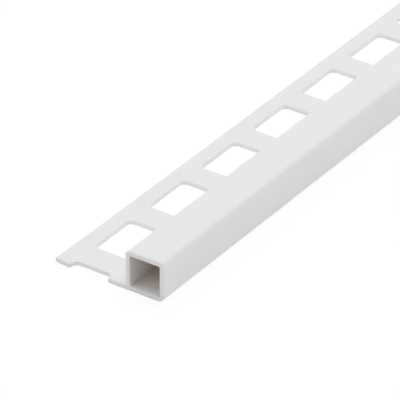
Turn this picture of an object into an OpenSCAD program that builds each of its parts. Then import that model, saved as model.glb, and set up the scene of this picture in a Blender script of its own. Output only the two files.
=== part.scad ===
// Square-edge tile trim: one white plastic extrusion with a hollow square tube along the
// tile's edge and a thin leg, punched with a row of windows, that is bedded under the tile.
// The trim lies on its underside along X, with the leg towards +Y. All sizes are millimetres.

/* [Stock] */
// Length that the trim is sold in
trim_length = 2500; // [300:10:3000]
// Width over everything, from the tube's outer face to the leg's free edge
trim_width = 28.9; // [27:0.1:40]

/* [Square tube] */
// Height of the tube, which suits the thickness of the tile
tube_height = 10; // [7:0.5:20]
// Width of the edge that stays in view beside the tile
tube_width = 10; // [7:0.1:11.5]
// Wall of the tube at its two sides
tube_wall = 1.05; // [0.7:0.05:2]
// Wall of the tube at its top
tube_top_wall = 1.15; // [0.7:0.05:2]
// Radius of the top edge beside the tile
tile_edge_radius = 1.1; // [0.2:0.1:2.5]
// Radius of the top edge on the outer face
face_edge_radius = 1.5; // [0.2:0.1:2.5]
// Radius of the bottom edge on the outer face
foot_edge_radius = 1.5; // [0.2:0.1:2]
// Radius of the hollow's four corners
hollow_radius = 0.3; // [0.1:0.05:1]

/* [Leg] */
// Thickness of the leg and of the tube's base
leg_thickness = 1; // [0.7:0.05:2]
// Radius of the two corners along the leg's free edge
leg_edge_radius = 0.15; // [0.1:0.05:0.34]
// Fillet between the leg's upper side and the tube
root_radius = 0.3; // [0.1:0.05:1]

/* [Windows] */
// Length of a window along the trim
window_length = 13.5; // [6:0.1:18]
// Width of a window across the leg
window_width = 10; // [5:0.1:12]
// Radius of a window's corners
window_radius = 1.3; // [0.5:0.1:2.4]
// Distance from one window to the next like point
window_pitch = 20.6; // [19:0.1:40]
// Strip of the leg outside the windows
window_rim = 4; // [2:0.1:5]
// Depth of the window that the cut at the first end leaves open
end_notch = 1.95; // [1:0.05:5]

/* [Hidden] */
$fn = 64;

// How far a cutting shape reaches past the face that it cuts
overcut = 1;
hollow_width = tube_width - 2 * tube_wall;
hollow_height = tube_height - tube_top_wall - leg_thickness;
window_start = end_notch - window_length;
window_near_side = trim_width - window_rim - window_width;
plastic_white = [0.91, 0.91, 0.92];

// The area between a quarter circle and the square corner at the origin that it rounds off
module spandrel(radius) {
    difference() {
        square(radius);
        translate([radius, radius]) circle(radius);
    }
}

// A rectangle from the origin with four equal round corners
module rounded_rectangle(size, radius) {
    translate([radius, 0]) square([size.x - 2 * radius, size.y]);
    translate([0, radius]) square([size.x, size.y - 2 * radius]);
    for (x = [radius, size.x - radius], y = [radius, size.y - radius])
        translate([x, y]) circle(radius);
}

// The tube's outside, square only where its base runs on into the leg
module tube_outline() {
    difference() {
        square([tube_width, tube_height]);
        spandrel(foot_edge_radius);
        translate([0, tube_height]) rotate(-90) spandrel(face_edge_radius);
        translate([tube_width, tube_height]) rotate(180) spandrel(tile_edge_radius);
    }
}

// The leg from the middle of the tube's base to its round free edge
module leg_outline() {
    difference() {
        translate([tube_width / 2, 0]) square([trim_width - tube_width / 2, leg_thickness]);
        translate([trim_width, 0]) rotate(90) spandrel(leg_edge_radius);
        translate([trim_width, leg_thickness]) rotate(180) spandrel(leg_edge_radius);
    }
}

module hollow() {
    translate([tube_wall, leg_thickness])
        rounded_rectangle([hollow_width, hollow_height], hollow_radius);
}

// The section that the die gives, across the trim and upwards
module section() {
    difference() {
        union() {
            tube_outline();
            leg_outline();
            translate([tube_width, leg_thickness]) spandrel(root_radius);
        }
        hollow();
    }
}

// The punched windows, whose even row the cuts at both ends interrupt where they fall
module window_row() {
    for (x = [window_start : window_pitch : trim_length])
        translate([x, window_near_side, -overcut])
            linear_extrude(leg_thickness + 2 * overcut)
                rounded_rectangle([window_length, window_width], window_radius);
}

// The whole trim, centred along and across and standing on its underside
module trim_profile() {
    color(plastic_white)
        translate([-trim_length / 2, -trim_width / 2, 0])
            difference() {
                rotate([90, 0, 90]) linear_extrude(trim_length) section();
                window_row();
            }
}

trim_profile();
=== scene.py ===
import math

import bpy
import numpy as np
from mathutils import Matrix, Vector


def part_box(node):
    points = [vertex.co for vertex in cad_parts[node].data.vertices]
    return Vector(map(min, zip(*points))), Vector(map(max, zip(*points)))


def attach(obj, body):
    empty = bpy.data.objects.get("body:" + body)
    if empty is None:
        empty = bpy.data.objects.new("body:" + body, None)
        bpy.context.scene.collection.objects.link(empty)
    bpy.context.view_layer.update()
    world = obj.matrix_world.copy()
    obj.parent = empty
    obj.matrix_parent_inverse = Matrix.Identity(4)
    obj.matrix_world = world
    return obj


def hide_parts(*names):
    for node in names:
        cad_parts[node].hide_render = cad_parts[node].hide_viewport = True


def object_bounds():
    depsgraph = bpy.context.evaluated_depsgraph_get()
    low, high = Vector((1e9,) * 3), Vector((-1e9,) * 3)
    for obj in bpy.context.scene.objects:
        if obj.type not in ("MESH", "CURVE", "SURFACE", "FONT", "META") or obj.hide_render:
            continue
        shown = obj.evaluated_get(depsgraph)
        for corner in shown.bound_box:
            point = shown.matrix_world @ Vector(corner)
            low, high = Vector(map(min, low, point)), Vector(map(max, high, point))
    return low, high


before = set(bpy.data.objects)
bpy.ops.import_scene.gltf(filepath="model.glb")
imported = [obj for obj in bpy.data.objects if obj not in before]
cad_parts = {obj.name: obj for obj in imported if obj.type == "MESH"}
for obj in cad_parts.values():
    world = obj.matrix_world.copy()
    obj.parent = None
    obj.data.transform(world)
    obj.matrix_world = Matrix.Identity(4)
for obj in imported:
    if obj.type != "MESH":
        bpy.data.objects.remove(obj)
cadLow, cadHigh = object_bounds()
print("trim: frame loaded, box", [round(v, 4) for v in cadLow], [round(v, 4) for v in cadHigh])

mm = 0.001  # the frame is in metres

# The section and the windows, as the part's own sizes give them; the length and width come from the frame
trim = {
    "node": "trim_profile",
    "tubeWidth": 10.0 * mm,
    "tubeWall": 1.05 * mm,
    "tubeTopWall": 1.15 * mm,
    "legThickness": 1.0 * mm,
    "tileEdgeRadius": 1.1 * mm,
    "faceEdgeRadius": 1.5 * mm,
    "footEdgeRadius": 1.5 * mm,
    "hollowRadius": 0.3 * mm,
    "legEdgeRadius": 0.15 * mm,
    "rootRadius": 0.3 * mm,
    "windowLength": 13.5 * mm,
    "windowWidth": 10.0 * mm,
    "windowRadius": 1.3 * mm,
    "windowPitch": 20.6 * mm,
    "windowRim": 4.0 * mm,
    "endNotch": 1.95 * mm,
    # How far a cut's edges are rounded, by the way they face: back from the cut, then along its face
    "sawCut": {
        "side": (0.12 * mm, 0.03 * mm),
        "upper": (0.5 * mm, 0.03 * mm),
        "lower": (0.04 * mm, 0.04 * mm),
    },
    "rimCut": {  # the saw's cut at the leg's rim
        "side": (0.3 * mm, 0.15 * mm),
        "upper": (1.0 * mm, 0.2 * mm),
        "lower": (0.1 * mm, 0.1 * mm),
    },
    "hollowCut": {  # and round the hollow
        "side": (0.1 * mm, 0.1 * mm),
        "upper": (1.1 * mm, 0.15 * mm),
        "lower": (0.1 * mm, 0.1 * mm),
    },
    "notchCut": {"upper": (0.35 * mm, 0.4 * mm), "lower": (0.1 * mm, 0.1 * mm)},
    "punchCut": {"upper": (0.35 * mm, 0.85 * mm), "lower": (0.1 * mm, 0.1 * mm)},  # a whole window's
    "rimLift": 0.3 * mm,  # the rim has bent up this far at the first end
    "rimLiftLength": 30.0 * mm,
    "stripMargin": 1.0 * mm,  # flat strip beside the windows that joins them to the section
    "arcSteps": 10,
    "softSteps": 4,
    "weldStep": 0.001 * mm,
    "faceWeight": 100,  # 50 is even; above it the large faces keep their flat shading
}


# Points and outward normals on a run of arcs. Each row gives the centre, the radius, the first angle and
# the sweep in degrees, and +1 for an arc that bulges out of the plastic or -1 for one that cuts into it.
# A straight stretch joins one arc's end to the next one's start.
def arcRun(rows, steps):
    arcs = np.array(rows)
    angle = np.radians(arcs[:, 3:4] + arcs[:, 4:5] * np.linspace(0, 1, steps + 1))
    way = np.stack([np.cos(angle), np.sin(angle)], axis=-1)
    points = arcs[:, None, 0:2] + arcs[:, 2:3, None] * way
    normals = arcs[:, 5:6, None] * way
    return points.reshape(-1, 2), normals.reshape(-1, 2)


# A stretch of the section carried along X, through the middle of every bar. Towards each end its faces draw
# in along a quarter ellipse, with its own reach and drop for each way that a face looks:
# x = reach - reach cos(turn), inset = drop - drop sin(turn). An arc keeps its radius and goes with the two
# faces that it joins. The flat points close an open stretch.
def carrySection(spec, rows, flats, bars, length, cut):
    points, normals = arcRun(rows, spec["arcSteps"])
    joined = normals.reshape(len(rows), -1, 2).mean(axis=1)
    facing = np.repeat(np.sign(joined), spec["arcSteps"] + 1, axis=0)
    for order, (place, way) in zip((1, -1), flats):
        added = ((place, points), (way, normals), (way, facing))
        points, normals, facing = (np.vstack([one, many][::order]) for one, many in added)
    upright = np.where(facing[:, 1:] > 0, cut["upper"], cut["lower"])
    sideways = np.broadcast_to(cut["side"], upright.shape)
    reach, drop = np.stack([sideways, upright], axis=-1).swapaxes(0, 1)
    quarter = np.linspace(0, math.pi / 2, spec["softSteps"] + 1)[:, None]
    along = (normals ** 2 * reach).sum(axis=1) * (1 - np.cos(quarter))
    across = points - facing * drop * (1 - np.sin(quarter))[..., None]
    middle = np.broadcast_to(bars[:, None], (len(bars), len(points)))
    along = np.concatenate([along, middle, length - along[::-1]])
    straight = np.broadcast_to(points, middle.shape + (2,))
    across = np.concatenate([across, straight, across[::-1]])
    return np.concatenate([along[..., None], across], axis=-1)


# The rows of a cut edge of the leg, from its upper side down to its underside: a quarter ellipse at the
# upper edge and one at the lower, reach deep and drop tall, with one cut for each point along the edge
def edgeRows(spec, cuts):
    quarter = np.linspace(0, math.pi / 2, spec["softSteps"] + 1)[:, None]
    upper, lower = (np.array([cut[way] for cut in cuts]).T for way in ("upper", "lower"))
    depths = np.concatenate([upper[0] * (1 - np.sin(quarter)), lower[0] * (1 - np.cos(quarter))])
    upperHeights = spec["legThickness"] - upper[1] * (1 - np.cos(quarter))
    heights = np.concatenate([upperHeights, lower[1] * (1 - np.sin(quarter))])
    return depths, heights


# A cut edge carried along a path in plan: row i runs depth i inside the path's own line, at height i
def carryEdge(points, normals, depths, heights):
    plan = points - normals * depths[..., None]
    return np.concatenate([plan, heights[..., None]], axis=-1)


# Adds one grid of points, or a stack of like grids, as quads and returns the numbers of its points
def addGrid(skin, grid, finish, wrapped=False, flipped=False):
    grid = grid.reshape((-1,) + grid.shape[-3:])
    index = sum(len(p) for p in skin["points"]) + np.arange(grid.size // 3).reshape(grid.shape[:3])
    here = index if wrapped else index[:, :, :-1]
    beside = np.roll(index, -1, axis=2) if wrapped else index[:, :, 1:]
    quads = np.stack([here[:, :-1], beside[:, :-1], beside[:, 1:], here[:, 1:]], axis=-1)
    quads = quads[..., ::-1] if flipped else quads
    skin["points"].append(grid.reshape(-1, 3))
    skin["quads"].append(quads.reshape(-1, 4))
    skin["finish"].append(np.broadcast_to(finish, quads.shape[:-1]).reshape(-1))
    return index


skinFinish, sawnFinish, hollowFinish, punchedFinish, crossFinish, notchFinish = range(6)
finishShares = {  # how far each of these finishes, in that order, is sawn, inside the hollow or punched
    "sawn": (0.0, 1.0, 0.0, 0.0, 0.0, 0.0),
    "hollow": (0.0, 0.0, 1.0, 0.0, 0.0, 0.0),
    "punched": (0.0, 0.0, 0.0, 1.0, 0.48, 0.2),
}


# Points closer than the weld step become one, and a quad that loses a corner by it becomes a triangle
def closeSkin(name, skin, weldStep):
    points = np.concatenate(skin["points"])
    cells = np.round(points / weldStep).astype(np.int64)
    first, merged = np.unique(cells, axis=0, return_index=True, return_inverse=True)[1:]
    merged = merged.reshape(-1)
    quads = merged[np.concatenate(skin["quads"])]
    finish = np.concatenate(skin["finish"])
    kept = quads != np.roll(quads, -1, axis=1)
    corners = kept.sum(axis=1)
    squares = quads[corners == 4]
    triangles = quads[corners == 3][kept[corners == 3]].reshape(-1, 3)
    caps = [merged[loop].tolist() for loop in skin["caps"]]
    finish = np.concatenate([
        finish[corners == 4], finish[corners == 3], np.full(len(caps), sawnFinish)])
    mesh = bpy.data.meshes.new(name)
    mesh.from_pydata(points[first], [], squares.tolist() + triangles.tolist() + caps)
    mesh.polygons.foreach_set("use_smooth", np.ones(len(finish), bool))
    for layer, shares in finishShares.items():
        values = np.array(shares, np.float32)[finish]
        mesh.attributes.new(layer, "FLOAT", "FACE").data.foreach_set("value", values)
    mesh.update()
    return mesh


# The whole trim as one closed skin, from its own corner at zero, then moved to its place in the frame
def makeTrim(spec):
    low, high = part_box(spec["node"])
    length, width, height = high - low
    steps = spec["arcSteps"]
    turn = steps + 1  # points on one arc
    base = spec["legThickness"]
    tube = spec["tubeWidth"]
    wall = spec["tubeWall"]
    softSteps = spec["softSteps"]
    wallRows = 2 * softSteps + 3  # quads down a cut edge, with the flat ones above and below it
    sawCut, rimCut = spec["sawCut"], spec["rimCut"]
    # The leg's two sides, and how far from the ends they start by the tube and at the rim
    levels = [(z, sawCut[way][0], rimCut[way][0]) for z, way in ((base, "upper"), (0.0, "lower"))]
    windowFar = width - spec["windowRim"]
    windowNear = windowFar - spec["windowWidth"]
    stripNear = windowNear - spec["stripMargin"]
    stripFar = windowFar + spec["stripMargin"]
    skin = {"points": [], "quads": [], "finish": [], "caps": []}

    # The windows along the trim, and the middle of the bar before each
    bar = spec["windowPitch"] - spec["windowLength"]
    windowCount = int((length - spec["endNotch"]) // spec["windowPitch"])
    windowStart = spec["endNotch"] + bar + spec["windowPitch"] * np.arange(windowCount)
    bars = windowStart - bar / 2

    # The tube's side of the section, from the leg's underside round the tube to the leg's upper side
    foot, face = spec["footEdgeRadius"], spec["faceEdgeRadius"]
    tile, root = spec["tileEdgeRadius"], spec["rootRadius"]
    tubeGrid = carrySection(spec, [
        (foot, foot, foot, -90, -90, 1),
        (face, height - face, face, 180, -90, 1),
        (tube - tile, height - tile, tile, 90, -90, 1),
        (tube + root, base + root, root, 180, 90, -1),
    ], [((stripNear, 0), (0, -1)), ((stripNear, base), (0, 1))], bars, length, sawCut)
    tubeIndex = addGrid(skin, tubeGrid, skinFinish, flipped=True)[0]

    # The leg's free edge, from its upper side round to its underside
    rim = spec["legEdgeRadius"]
    rimGrid = carrySection(spec, [
        (width - rim, base - rim, rim, 90, -90, 1),
        (width - rim, rim, rim, 0, -90, 1),
    ], [((stripFar, base), (0, 1)), ((stripFar, 0), (0, -1))], bars, length, rimCut)
    rimIndex = addGrid(skin, rimGrid, skinFinish, flipped=True)[0]

    # The hollow, whose corners turn the same way as the tube's own
    corner = spec["hollowRadius"]
    left, right = wall + corner, tube - wall - corner
    bottom, top = base + corner, height - spec["tubeTopWall"] - corner
    hollowGrid = carrySection(spec, [
        (left, bottom, corner, -90, -90, -1),
        (left, top, corner, 180, -90, -1),
        (right, top, corner, 90, -90, -1),
        (right, bottom, corner, 0, -90, -1),
    ], [], bars, length, spec["hollowCut"])
    hollowIndex = addGrid(skin, hollowGrid, hollowFinish, wrapped=True)[0]

    # Whole windows: rounded rectangles that grow by the edge's depth, and outside them a flat frame
    # whose four corners each take the fan of points from the window's corner in the same quarter
    depths, heights = edgeRows(spec, [spec["punchCut"]])
    quarters = np.array([(1, 1), (-1, 1), (-1, -1), (1, -1)])
    signs = np.repeat(quarters, turn, axis=0)
    way = np.radians(np.repeat(np.arange(4) * 90, turn) + np.tile(np.linspace(0, 90, turn), 4))
    radius = spec["windowRadius"]
    straight = np.array([spec["windowLength"], spec["windowWidth"]]) / 2 - radius
    centreX = windowStart + spec["windowLength"] / 2
    centreY = (windowNear + windowFar) / 2
    outlineX = centreX[:, None, None] + signs[:, 0] * straight[0] + (radius + depths) * np.cos(way)
    outlineY = centreY + signs[:, 1] * straight[1] + (radius + depths) * np.sin(way)
    outline = np.stack(np.broadcast_arrays(outlineX, outlineY, heights), axis=-1)
    frameY = np.where(signs[:, 1] > 0, stripFar, stripNear)
    after = np.append(bars[1:], length)[:, None]
    flats = []
    for level, nearSoft, farSoft in levels:
        soft = np.where(signs[:, 1] > 0, farSoft, nearSoft) * (after == length)
        frameX = np.where(signs[:, 0] > 0, after - soft, bars[:, None])
        flats.append(np.stack(np.broadcast_arrays(frameX, frameY, level), axis=-1)[:, None])
    faceX, faceY = (np.abs(ray(way) + ray(np.roll(way, -1))) for ray in (np.cos, np.sin))
    wallFinish = np.where(faceX > faceY, crossFinish, punchedFinish)
    wallFinish = np.repeat(wallFinish[None], wallRows, axis=0)
    wallFinish[[0, -1]] = skinFinish  # the flat frames above and below
    windows = np.concatenate([flats[0], outline, flats[1]], axis=1)
    addGrid(skin, windows, wallFinish, wrapped=True)

    # The first end, cut through a window: along the cut, into the notch, round it and out to the cut again
    notch, bend = spec["endNotch"] - radius, spec["notchCut"]["upper"][0]
    endPoints, endNormals = arcRun([
        (bend, windowNear - bend, bend, 180, -90, 1),
        (notch, windowNear + radius, radius, -90, 90, -1),
        (notch, windowFar - radius, radius, 0, 90, -1),
        (bend, windowFar + bend, bend, -90, -90, 1),
    ], steps)
    arcPoints = len(endPoints)
    endPoints = np.vstack([(0, stripNear), endPoints, (0, stripFar)])
    endNormals = np.vstack([(-1, 0), endNormals, (-1, 0)])
    endCuts = [sawCut] + [spec["notchCut"]] * arcPoints + [rimCut]
    endEdge = carryEdge(endPoints, endNormals, *edgeRows(spec, endCuts))
    backY = np.repeat([stripNear, stripFar], arcPoints // 2 + 1)
    flats = []
    for level, nearSoft, farSoft in levels:
        backX = np.concatenate([[nearSoft], np.full(arcPoints, bars[0]), [farSoft]])
        flats.append(np.stack(np.broadcast_arrays(backX, backY, level), axis=-1)[None])
    cutFinish = np.full(wallRows, sawnFinish)
    cutFinish[:softSteps + 1] = skinFinish  # the upper side and its rounding
    cutFinish[-1] = skinFinish  # the underside
    endFinish = np.repeat(cutFinish[:, None], arcPoints + 1, axis=1)
    # The notch's own walls run from the end of the first arc to the start of the last
    endFinish[softSteps + 1:-1, turn:3 * turn + 1] = notchFinish
    addGrid(skin, np.concatenate([flats[0], endEdge, flats[1]]), endFinish)

    # The last end, cut square through a bar
    lastPoints = np.array([(length, stripNear), (length, stripFar)])
    lastNormals = np.array([(1.0, 0.0), (1.0, 0.0)])
    lastEdge = carryEdge(lastPoints, lastNormals, *edgeRows(spec, [sawCut, rimCut]))
    addGrid(skin, lastEdge, cutFinish[1:-1, None], flipped=True)

    # The sawn faces of both ends: the tube's outer half, its other half with the leg's root, and the rim
    outerHalf = np.arange(1, 2 * turn + 1)
    innerHalf = np.append(np.arange(2 * turn, tubeIndex.shape[1]), [0, 1])
    hollowOuter = np.arange(2 * turn)[::-1]
    hollowInner = np.append([0], np.arange(2 * turn - 1, 4 * turn)[::-1])
    for row, direction in ((0, 1), (-1, -1)):
        loops = [
            np.concatenate([tubeIndex[row][outerHalf], hollowIndex[row][hollowOuter]]),
            np.concatenate([tubeIndex[row][innerHalf], hollowIndex[row][hollowInner]]),
            rimIndex[row],
        ]
        skin["caps"] += [loop[::direction] for loop in loops]

    # The rim's bend: the lift, times the square of how far out on the rim and how near the end a point is
    for points in skin["points"]:
        outward = np.clip((points[:, 1] - windowFar) / (width - windowFar), 0, 1)
        nearness = np.clip(1 - points[:, 0] / spec["rimLiftLength"], 0, 1)
        points[:, 2] += spec["rimLift"] * (outward * nearness) ** 2

    mesh = closeSkin("trim_skin", skin, spec["weldStep"])
    mesh.transform(Matrix.Translation(low))
    piece = bpy.data.objects.new("trim_skin", mesh)
    bpy.context.scene.collection.objects.link(piece)
    shading = piece.modifiers.new("level_faces", "WEIGHTED_NORMAL")
    shading.weight = spec["faceWeight"]
    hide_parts(spec["node"])
    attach(piece, "root")
    print("trim: skin with", windowCount, "whole windows,", len(mesh.polygons), "faces")
    return piece


trimPiece = makeTrim(trim)


# One output of a node. Sums on wires and plain numbers add Math nodes to the same tree.
class Wire:
    def __init__(self, tree, socket=None):
        self.tree = tree
        self.socket = socket

    # Makes any node: its settings first, then the values or wires of its sockets
    def node(self, kind, settings, sockets, output=0):
        made = self.tree.nodes.new(kind)
        for name, value in settings.items():
            setattr(made, name, value)
        for name, value in sockets.items():
            if isinstance(value, Wire):
                self.tree.links.new(value.socket, made.inputs[name])
            else:
                made.inputs[name].default_value = value
        return Wire(self.tree, made.outputs[output] if made.outputs else None)

    def maths(self, operation, first, second):
        return self.node("ShaderNodeMath", {"operation": operation}, {0: first, 1: second})

    def __add__(self, other):
        return self.maths("ADD", self, other)

    def __radd__(self, other):
        return self.maths("ADD", other, self)

    def __sub__(self, other):
        return self.maths("SUBTRACT", self, other)

    def __rsub__(self, other):
        return self.maths("SUBTRACT", other, self)

    def __mul__(self, other):
        return self.maths("MULTIPLY", self, other)

    def __rmul__(self, other):
        return self.maths("MULTIPLY", other, self)


plastic = {
    "name": "white_plastic",
    "white": (0.79, 0.79, 0.806),
    "hollowShadeTint": (0.75, 0.733, 0.722),  # painted shade: the hollow is darker at its ends
    "deepBounceTint": (0.85, 0.78, 0.745),  # and from deepFrom on a painted warm cast of light bounced inside it
    "deepFrom": 7.0 * mm,
    "mouthLightTint": (0.97, 0.967, 0.967),  # painted light on the hollow's floor at its mouth
    "mouthDepth": 5.4 * mm,  # how far in that reaches at the tube's face
    "mouthLean": 0.45,  # and how much less for each length across towards the tile
    "mouthRise": 0.5 * mm,  # how high above the floor it ends
    "punchedTint": (0.966, 0.958, 0.984),  # the punched walls are lighter in colour
    "lighterFrom": 0.8,  # it fades from this share of the leg's thickness to the upper side
    "fractureTop": 0.45 * mm,  # below this the wall was torn, not sheared
    "shearWidth": 0.15 * mm,  # the punch's marks down a window's wall
    "shearLength": 3.0 * mm,
    "shearHeight": 0.004 * mm,
    "sawnTint": (0.8, 0.8, 0.812),
    "sawAxis": (0.0, -40.0 * mm, 95.0 * mm),  # the middle of the blade that cut the ends
    "sawMark": 0.3 * mm,
    "sawHeight": 0.03 * mm,
    "sawDepth": 0.08,  # share of the colour
    "endEdgeShadeTint": (0.715, 0.715, 0.728),  # painted shade: the skin beside a sawn end is darker
    "endEdgeShadeWidth": 0.8 * mm,
    "wearAndShadeTint": (0.775, 0.775, 0.79),  # the tube's long upper edges, polished by handling and darker as painted shade
    "wearAndShadeWidth": 1.6 * mm,
    "wearAndShadeLength": 48.0 * mm,
    "cloudSize": 6.0 * mm,
    "cloudDepth": 0.012,  # share of the colour
    "lineLength": 400.0 * mm,  # the die's lines along the trim
    "lineWidth": 0.35 * mm,
    "lineDepth": 0.02,  # share of the colour
    "lineHeight": 0.003 * mm,
    "roughness": 0.42,
    "cloudRoughness": 0.1,  # what each of these adds to it
    "lineRoughness": 0.06,
    "rubbedRoughness": -0.14,
    "hollowRoughness": 0.08,
    "sawnRoughness": 0.2,
    "punchedRoughness": 0.08,
    "tornRoughness": 0.16,
    "refraction": 1.53,
    "scatterDepth": 0.2 * mm,
}


# White plastic that light enters a little way, marked by the die, saw, punch and handling, with painted
# light and shade
def makePlastic(spec):
    material = bpy.data.materials.new(spec["name"])
    material.use_nodes = True
    tree = material.node_tree
    tree.nodes.clear()
    wire = Wire(tree)
    place = wire.node("ShaderNodeTexCoord", {}, {}, "Object")
    along, across, height = (wire.node("ShaderNodeSeparateXYZ", {}, {0: place}, axis) for axis in "XYZ")
    sawn, punched, hollow = (
        wire.node("ShaderNodeAttribute", {"attribute_name": layer}, {}, "Fac")
        for layer in ("sawn", "punched", "hollow"))

    # Noise whose grains have their own size along each axis
    def grain(sizes, detail):
        stretched = wire.node(
            "ShaderNodeVectorMath", {"operation": "MULTIPLY"}, {0: place, 1: tuple(1 / s for s in sizes)})
        return wire.node("ShaderNodeTexNoise", {}, {"Vector": stretched, "Scale": 1.0, "Detail": detail})

    # From 1 at the first value down to 0 at the second
    def fade(value, full, gone):
        return wire.node("ShaderNodeMapRange", {"interpolation_type": "SMOOTHSTEP"}, {
            "Value": value, "From Min": full, "From Max": gone, "To Min": 1.0, "To Max": 0.0})

    # The first colour where the factor is 0, the second where it is 1
    def tinted(factor, first, second):
        first, second = (c if isinstance(c, Wire) else tuple(c) + (1.0,) for c in (first, second))
        return wire.node("ShaderNodeMix", {"data_type": "RGBA"}, {0: factor, 6: first, 7: second}, 2)

    # Mixes a colour's darker and lighter shades
    def shaded(factor, tone, depth):
        return tinted(factor, [c * (1 - depth) for c in tone], [c * (1 + depth) for c in tone])

    cloud, line, shear = spec["cloudSize"], spec["lineWidth"], spec["shearWidth"]
    clouds = grain((cloud, cloud, cloud), 2.0)
    lines = grain((spec["lineLength"], line, line), 1.0)
    wearAndShadePatches = grain((spec["wearAndShadeLength"], line, line), 3.0)
    shears = grain((shear, shear, spec["shearLength"]), 2.0)
    fromAxis = wire.node("ShaderNodeVectorMath", {"operation": "DISTANCE"}, {
        0: wire.node("ShaderNodeVectorMath", {"operation": "MULTIPLY"}, {0: place, 1: (0.0, 1.0, 1.0)}),
        1: spec["sawAxis"]}, "Value")
    sawMarks = wire.node("ShaderNodeTexNoise", {"noise_dimensions": "1D"}, {
        "W": fromAxis * (1 / spec["sawMark"]), "Scale": 1.0, "Detail": 2.0})
    leg = trim["legThickness"]
    skin = 1 - sawn - punched
    # The punched walls lighter in colour, up to near the upper side
    lighterWalls = punched * fade(height, spec["lighterFrom"] * leg, leg)
    torn = punched * fade(height, 0.0, spec["fractureTop"])

    # How near a place is to one of the tube's two long upper edges, measured round the corner
    below = cadHigh.z - height
    faceEdge = across - cadLow.y + below
    tileEdge = wire.maths("ABSOLUTE", across - (cadLow.y + trim["tubeWidth"]), 0.0) + below
    # Along them, in patches, the skin is worn smoother and its colour darker as painted shade
    wearAndShade = skin * fade(wire.maths("MINIMUM", faceEdge, tileEdge), 0.0, spec["wearAndShadeWidth"]) * wearAndShadePatches

    # How far a place is from the nearer end, and how far it gets the painted light at the hollow's mouth
    inside = cadHigh.x - wire.maths("ABSOLUTE", along, 0.0)
    # Painted shade on the skin along the sawn ends
    endEdgeShade = skin * fade(inside, 0.0, spec["endEdgeShadeWidth"])
    mouthReach = spec["mouthDepth"] - (across - cadLow.y) * spec["mouthLean"]
    # where the painted light lies on the hollow's floor at its mouth
    mouth = fade(height, leg, leg + spec["mouthRise"]) * fade(inside, 0.0, mouthReach)

    drift = spec["cloudDepth"] + spec["lineDepth"]
    uneven = clouds * (spec["cloudDepth"] / drift) + lines * (spec["lineDepth"] / drift)
    colour = shaded(uneven, spec["white"], drift)
    colour = tinted(wearAndShade, colour, spec["wearAndShadeTint"])
    colour = tinted(endEdgeShade, colour, spec["endEdgeShadeTint"])
    # Painted light and shade in the hollow: darker at its ends, warmer deeper in, lighter on its floor at
    # the mouth
    hollowLightAndShade = tinted(fade(inside, 0.0, spec["deepFrom"]), spec["deepBounceTint"], spec["hollowShadeTint"])
    hollowLightAndShade = tinted(mouth, hollowLightAndShade, spec["mouthLightTint"])
    colour = tinted(hollow, colour, hollowLightAndShade)
    colour = tinted(sawn, colour, shaded(sawMarks, spec["sawnTint"], spec["sawDepth"]))
    colour = tinted(lighterWalls, colour, spec["punchedTint"])
    roughness = spec["roughness"] + (clouds - 0.5) * spec["cloudRoughness"]
    roughness = roughness + (lines - 0.5) * spec["lineRoughness"]
    roughness = roughness + wearAndShade * spec["rubbedRoughness"] + hollow * spec["hollowRoughness"]
    roughness = roughness + sawn * spec["sawnRoughness"]
    roughness = roughness + punched * spec["punchedRoughness"] + torn * spec["tornRoughness"]
    relief = (lines * skin * spec["lineHeight"] + sawMarks * sawn * spec["sawHeight"]
              + shears * punched * spec["shearHeight"])
    bump = wire.node("ShaderNodeBump", {}, {"Strength": 1.0, "Distance": 1.0, "Height": relief})
    surface = wire.node("ShaderNodeBsdfPrincipled", {}, {
        "Base Color": colour,
        "Roughness": roughness,
        "Normal": bump,
        "IOR": spec["refraction"],
        "Subsurface Weight": 1.0,
        "Subsurface Radius": (1.0, 1.0, 1.0),
        "Subsurface Scale": spec["scatterDepth"],
    })
    wire.node("ShaderNodeOutputMaterial", {}, {"Surface": surface})
    return material


trimPiece.data.materials.append(makePlastic(plastic))
print("trim: plastic made")

photoView = {
    "azimuth": -55.414,  # degrees; 0 looks along +Y
    "elevation": 31.549,
    "lens": 360.93,  # mm on the sensor below
    "sensor": 36.0,
    "frameSize": 400,  # pixels
    "cornerPixel": (163.596, 303.418),  # where the first end's lower outer corner is, taken as square
    "cornerDistance": 863.42 * mm,
    "clip": (0.01, 200.0),  # metres
}


# The camera sits where its corner of the trim falls on its pixel, at its distance along the line of sight
def makeCamera(spec, corner):
    azimuth, elevation = math.radians(spec["azimuth"]), math.radians(spec["elevation"])
    back = Vector((math.sin(azimuth) * math.cos(elevation),
                   -math.cos(azimuth) * math.cos(elevation), math.sin(elevation)))
    right = Vector((math.cos(azimuth), math.sin(azimuth), 0.0))
    up = back.cross(right)
    pixel = spec["cornerDistance"] * spec["sensor"] / spec["lens"] / spec["frameSize"]
    column, row = (p - spec["frameSize"] / 2 for p in spec["cornerPixel"])
    place = corner - right * (column * pixel) + up * (row * pixel) + back * spec["cornerDistance"]
    data = bpy.data.cameras.new("photo_view")
    data.lens = spec["lens"]
    data.sensor_width = spec["sensor"]
    data.clip_start, data.clip_end = spec["clip"]
    camera = bpy.data.objects.new("photo_view", data)
    bpy.context.scene.collection.objects.link(camera)
    turned = Matrix((right, up, back)).transposed().to_4x4()
    camera.matrix_world = Matrix.Translation(place) @ turned
    bpy.context.scene.camera = camera


makeCamera(photoView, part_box(trim["node"])[0])

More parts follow.
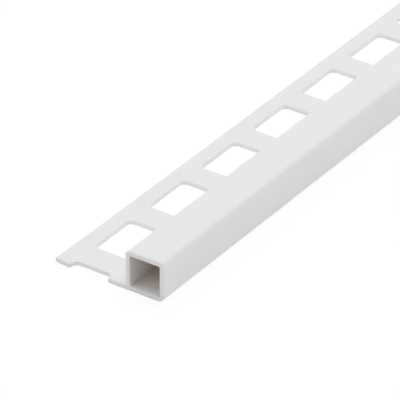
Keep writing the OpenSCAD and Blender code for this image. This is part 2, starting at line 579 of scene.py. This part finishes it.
studio = {
    "floorReach": 60.0,  # metres each way
    "floorLines": 5,  # across the floor each way
    "floorGap": 0.02 * mm,  # keeps the floor clear of the trim's underside
    "floorWhite": 0.9,
    "floorGlow": 0.91,  # what the camera sees of the floor before light and shadow are added
    "floorShadow": 0.1,
    "skyLevel": 0.563,
    "softboxSize": (2.0, 1.2),
    "keyPlace": (0.0, 1.8, 3.0),  # a softbox high on the leg's side
    "keyPower": 21.7,
    "topPlace": (0.0, -0.6, 3.0),  # one overhead
    "topPower": 28.7,
    "endPlace": (-3.5, 1.5, 3.0),  # one beyond the first end
    "endPower": 18.3,
    "fillPlace": (-1.25, -3.5, 0.15),  # and a low one in front of the tube, near that end
    "fillPower": 17.9,
}


# 1 for rays that should see the white studio: straight from the camera, or by a reflection or through glass
def seenDirectly(wire):
    path = wire.node("ShaderNodeLightPath", {}, {}, "Is Camera Ray")
    reflected = Wire(wire.tree, path.socket.node.outputs["Is Glossy Ray"])
    through = Wire(wire.tree, path.socket.node.outputs["Is Transmission Ray"])
    return path.maths("MAXIMUM", path, path.maths("MAXIMUM", reflected, through))


# A flat grid just under the trim. It lights the trim as a pale floor does, and what the camera sees of it is
# white but for the shadow.
def makeFloor(spec):
    sides = np.linspace(-spec["floorReach"], spec["floorReach"], spec["floorLines"])
    gridX, gridY = np.meshgrid(sides, sides)
    points = np.stack([gridX, gridY, np.full_like(gridX, cadLow.z - spec["floorGap"])], axis=-1)
    index = np.arange(sides.size ** 2).reshape(sides.size, sides.size)
    quads = np.stack([index[:-1, :-1], index[:-1, 1:], index[1:, 1:], index[1:, :-1]], axis=-1)
    mesh = bpy.data.meshes.new("studio_floor")
    mesh.from_pydata(points.reshape(-1, 3), [], quads.reshape(-1, 4).tolist())
    floor = bpy.data.objects.new("studio_floor", mesh)
    bpy.context.scene.collection.objects.link(floor)
    material = bpy.data.materials.new("studio_floor")
    material.use_nodes = True
    material.node_tree.nodes.clear()
    wire = Wire(material.node_tree)
    white, shade = spec["floorWhite"], spec["floorShadow"]
    lit = wire.node("ShaderNodeBsdfDiffuse", {}, {"Color": (white, white, white, 1.0)})
    shaded = wire.node("ShaderNodeBsdfDiffuse", {}, {"Color": (shade, shade, shade, 1.0)})
    glow = wire.node("ShaderNodeEmission", {}, {"Strength": spec["floorGlow"]})
    shown = wire.node("ShaderNodeAddShader", {}, {0: shaded, 1: glow})
    mixed = wire.node("ShaderNodeMixShader", {}, {0: seenDirectly(wire), 1: lit, 2: shown})
    wire.node("ShaderNodeOutputMaterial", {}, {"Surface": mixed})
    mesh.materials.append(material)


# A white sky, dimmer as a light than it looks, and four softboxes that face the trim's middle
def makeLight(spec):
    world = bpy.data.worlds.new("studio_sky")
    world.use_nodes = True
    world.node_tree.nodes.clear()
    wire = Wire(world.node_tree)
    seen = seenDirectly(wire)
    strength = seen + (1 - seen) * spec["skyLevel"]
    sky = wire.node("ShaderNodeBackground", {}, {"Color": (1.0, 1.0, 1.0, 1.0), "Strength": strength})
    wire.node("ShaderNodeOutputWorld", {}, {"Surface": sky})
    bpy.context.scene.world = world
    for name in ("key", "top", "end", "fill"):
        lamp = bpy.data.lights.new(name, "AREA")
        lamp.shape = "RECTANGLE"
        lamp.size, lamp.size_y = spec["softboxSize"]
        lamp.energy = spec[name + "Power"]
        softbox = bpy.data.objects.new(name, lamp)
        softbox.location = spec[name + "Place"]
        softbox.rotation_euler = softbox.location.to_track_quat("Z", "Y").to_euler()
        bpy.context.scene.collection.objects.link(softbox)


makeFloor(studio)
makeLight(studio)
bpy.context.scene.view_settings.view_transform = "Standard"
print("trim: camera, floor and light set")

bpy.context.view_layer.update()
